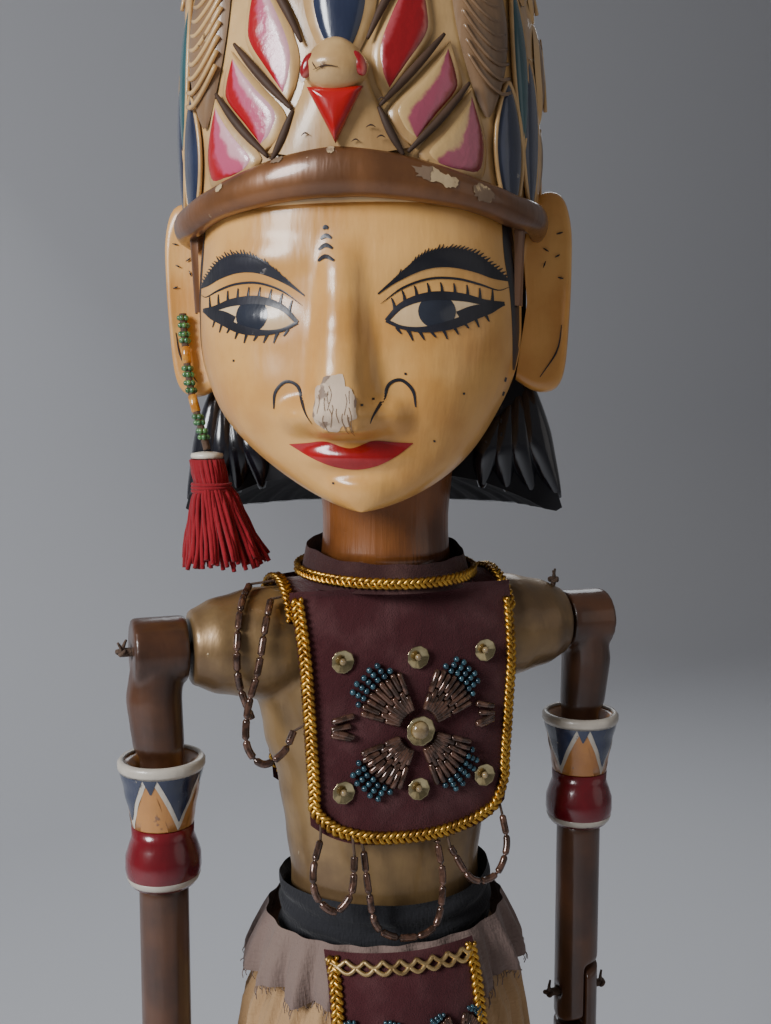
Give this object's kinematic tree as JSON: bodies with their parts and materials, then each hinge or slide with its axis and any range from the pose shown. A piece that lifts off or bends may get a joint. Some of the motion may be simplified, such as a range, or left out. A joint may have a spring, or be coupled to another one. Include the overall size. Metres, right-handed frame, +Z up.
{
  "type": "wayang golek rod puppet",
  "caption": "Carved wooden rod puppet with a turning crowned head, jointed arms on hand rods, beaded velvet vest and cloth skirt, on a display stand.",
  "frame": {"origin": "centre of the display stand's underside, on the axis of the central rod", "axes": "+Z up along the central rod, -Y the way the chest faces, +X the puppet's left"},
  "size_m": [0.1522, 0.12, 0.6723],
  "materials": {
    "dark_wood": "dark stained wood, satin",
    "face_lacquer": "carved wood under glossy cream lacquer",
    "brown_gold_paint": "carved wood under worn brown and gold paint",
    "crown_paint": "carved wood painted cream, red, navy and brown",
    "black_hair_paint": "carved wood under glossy black paint",
    "green_beads": "green, amber and orange beads on a thread",
    "bone_disc": "white disc bead",
    "red_yarn": "crimson yarn",
    "gold_bronze_paint": "carved wood under worn gold bronze paint",
    "maroon_velvet": "worn maroon velvet",
    "gold_braid": "metallic gold braid",
    "bronze_beads": "bronze bugle beads on thread",
    "sequin": "cupped metallised sequin",
    "black_cloth": "black cloth band",
    "ochre_cloth": "thin ochre cloth",
    "mauve_cloth": "faded mauve cloth with a frayed edge",
    "tie_string": "dark twisted string",
    "arm_varnish": "carved wood under copper brown varnish",
    "armband_paint": "carved wood painted navy, white and orange",
    "ring_paint": "carved wood painted red and pink",
    "rod_wood": "thin dark wooden rod"
  },
  "bodies": {
    "stand": {"stand_base": "dark_wood"},
    "head_and_rod": {"central_rod": "dark_wood", "neck": "brown_gold_paint", "head": "face_lacquer", "ear_left": "face_lacquer", "ear_right": "face_lacquer", "hair": "black_hair_paint", "crown": "crown_paint", "crown_band": "brown_gold_paint", "crown_bird_head": "crown_paint", "crown_finial": "brown_gold_paint", "ear_bead_string": "green_beads", "tassel_cap": "bone_disc", "tassel": "red_yarn"},
    "torso": {"torso": "gold_bronze_paint", "bib_front": "maroon_velvet", "bib_back": "maroon_velvet", "shoulder_strap_left": "maroon_velvet", "shoulder_strap_right": "maroon_velvet", "collar": "maroon_velvet", "apron": "maroon_velvet", "collar_braid": "gold_braid", "bib_braid": "gold_braid", "bead_flower": "bronze_beads", "bead_loop_outer": "bronze_beads", "bead_loop_inner": "bronze_beads", "bead_swag_right": "bronze_beads", "bead_swag_middle": "bronze_beads", "bead_swag_left": "bronze_beads", "flower_centre": "sequin", "sequin_upper_right": "sequin", "sequin_upper_middle": "sequin", "sequin_upper_left": "sequin", "sequin_lower_right": "sequin", "sequin_lower_middle": "sequin", "sequin_lower_left": "sequin", "belt": "black_cloth", "skirt": "ochre_cloth", "waist_frill": "mauve_cloth", "shoulder_knot_left": "tie_string"},
    "upper_arm_left": {"upper_arm_left": "arm_varnish", "armband_left": "armband_paint", "arm_ring_left": "ring_paint", "shoulder_cord_left": "tie_string"},
    "forearm_left": {"forearm_left": "arm_varnish", "elbow_cord_left": "tie_string", "hand_tie_left": "tie_string"},
    "hand_rod_left": {"hand_rod_left": "rod_wood"},
    "upper_arm_right": {"upper_arm_right": "arm_varnish", "armband_right": "armband_paint", "arm_ring_right": "ring_paint", "shoulder_cord_right": "tie_string"},
    "forearm_right": {"forearm_right": "arm_varnish", "elbow_cord_right": "tie_string", "hand_tie_right": "tie_string"},
    "hand_rod_right": {"hand_rod_right": "rod_wood"}
  },
  "joints": [
    {"name": "head_turn", "type": "hinge", "parent": "stand", "child": "head_and_rod", "pos_m": [0, 0, 0.034], "axis": [0, 0, 1], "continuous": true},
    {"name": "torso_slide", "type": "slide", "parent": "stand", "child": "torso", "axis": [0, 0, 1], "range_m": [0, 0.003]},
    {"name": "shoulder_left", "type": "hinge", "parent": "torso", "child": "upper_arm_left", "pos_m": [0.061, 0, 0.444], "axis": [-1, 0, 0], "range_deg": [-45, 100]},
    {"name": "elbow_left", "type": "hinge", "parent": "upper_arm_left", "child": "forearm_left", "pos_m": [0.061, 0, 0.331], "axis": [-1, 0, 0], "range_deg": [0, 100]},
    {"name": "hand_rod_swing_left", "type": "hinge", "parent": "forearm_left", "child": "hand_rod_left", "pos_m": [0.0686, 0, 0.236], "axis": [-1, 0, 0], "range_deg": [-90, 90]},
    {"name": "shoulder_right", "type": "hinge", "parent": "torso", "child": "upper_arm_right", "pos_m": [-0.061, 0, 0.444], "axis": [-1, 0, 0], "range_deg": [-45, 100]},
    {"name": "elbow_right", "type": "hinge", "parent": "upper_arm_right", "child": "forearm_right", "pos_m": [-0.061, 0, 0.331], "axis": [-1, 0, 0], "range_deg": [0, 100]},
    {"name": "hand_rod_swing_right", "type": "hinge", "parent": "forearm_right", "child": "hand_rod_right", "pos_m": [-0.0686, 0, 0.236], "axis": [-1, 0, 0], "range_deg": [-90, 90]}
  ]
}
